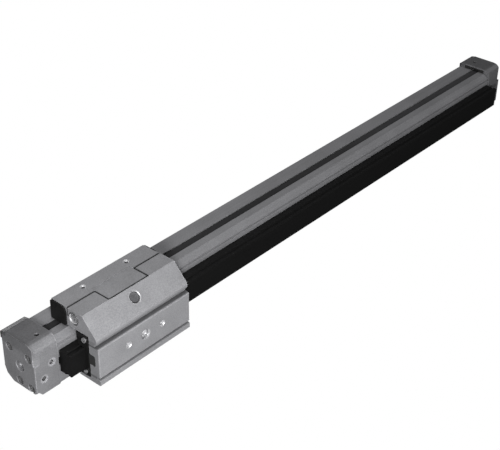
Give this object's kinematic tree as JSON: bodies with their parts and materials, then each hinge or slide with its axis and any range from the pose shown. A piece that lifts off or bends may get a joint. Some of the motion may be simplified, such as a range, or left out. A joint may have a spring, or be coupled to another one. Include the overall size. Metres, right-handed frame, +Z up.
{
  "type": "rodless pneumatic cylinder",
  "caption": "Slotted air cylinder with a guided carriage on a ball-bearing rail, end caps with screwed ports, sealing bands and adjustable end cushioning.",
  "frame": {"origin": "on the mounting plane, under the middle of the whole cylinder's length and width", "axes": "+X along the barrel, away from the cap that the carriage rests near; +Z up out of the slot; -Y out of the guide side"},
  "size_m": [0.65, 0.0622, 0.058],
  "materials": {
    "anodised_profile": "anodised extrusion, satin, fine drawn lines along its length",
    "cast_cap": "die-cast, shot-blasted and coated, satin grey",
    "carriage_aluminium": "anodised, satin light grey",
    "turned_aluminium": "turned, plain",
    "screw_steel": "zinc-plated steel",
    "bright_steel": "bright nickel-plated steel",
    "bearing_steel": "hardened and ground",
    "rail_steel": "black-oxide steel, satin",
    "black_plastic": "moulded black plastic",
    "cover_band": "dark grey polyurethane strip",
    "sealing_band": "translucent polyurethane strip",
    "white_acetal": "plain white acetal",
    "seal_rubber": "black nitrile rubber",
    "magnet": "sintered ferrite"
  },
  "bodies": {
    "barrel": {"barrel_profile": "anodised_profile", "end_cap_near": "cast_cap", "end_cap_far": "cast_cap", "cap_screws": "screw_steel", "cap_seals": "seal_rubber", "cushion_tubes": "turned_aluminium", "stop_buffers": "seal_rubber", "band_clamps": "black_plastic", "outer_band": "cover_band", "inner_band": "sealing_band", "guide_rail": "rail_steel"},
    "carriage": {"yoke": "turned_aluminium", "piston_heads": "white_acetal", "piston_seals": "seal_rubber", "piston_wear_rings": "white_acetal", "cushion_seals": "seal_rubber", "piston_head_screws": "screw_steel", "piston_magnet": "magnet", "driver": "carriage_aluminium", "yoke_set_screws": "screw_steel", "driver_end_plates": "black_plastic", "band_ramps": "white_acetal", "guide_carriage": "carriage_aluminium", "stop_screws": "bright_steel", "end_inserts": "black_plastic", "grease_plug": "screw_steel", "bearing_block": "bearing_steel", "bearing_balls": "bearing_steel", "block_screws": "screw_steel", "ball_returns": "black_plastic", "rail_wipers": "black_plastic", "wiper_screws": "bright_steel"},
    "needle_near": {"cushion_needle_near": "screw_steel"},
    "needle_far": {"cushion_needle_far": "screw_steel"}
  },
  "joints": [
    {"name": "carriage_slide", "type": "slide", "parent": "barrel", "child": "carriage", "axis": [1, 0, 0], "range_m": [-0.013, 0.487], "deforming": ["outer_band", "inner_band"]},
    {"name": "needle_near_turn", "type": "hinge", "parent": "barrel", "child": "needle_near", "pos_m": [-0.3117, 0.0057, 0.0429], "axis": [0, 0, 1], "range_deg": [-360, 360]},
    {"name": "needle_far_turn", "type": "hinge", "parent": "barrel", "child": "needle_far", "pos_m": [0.3117, 0.0181, 0.0429], "axis": [0, 0, 1], "range_deg": [-360, 360]}
  ]
}
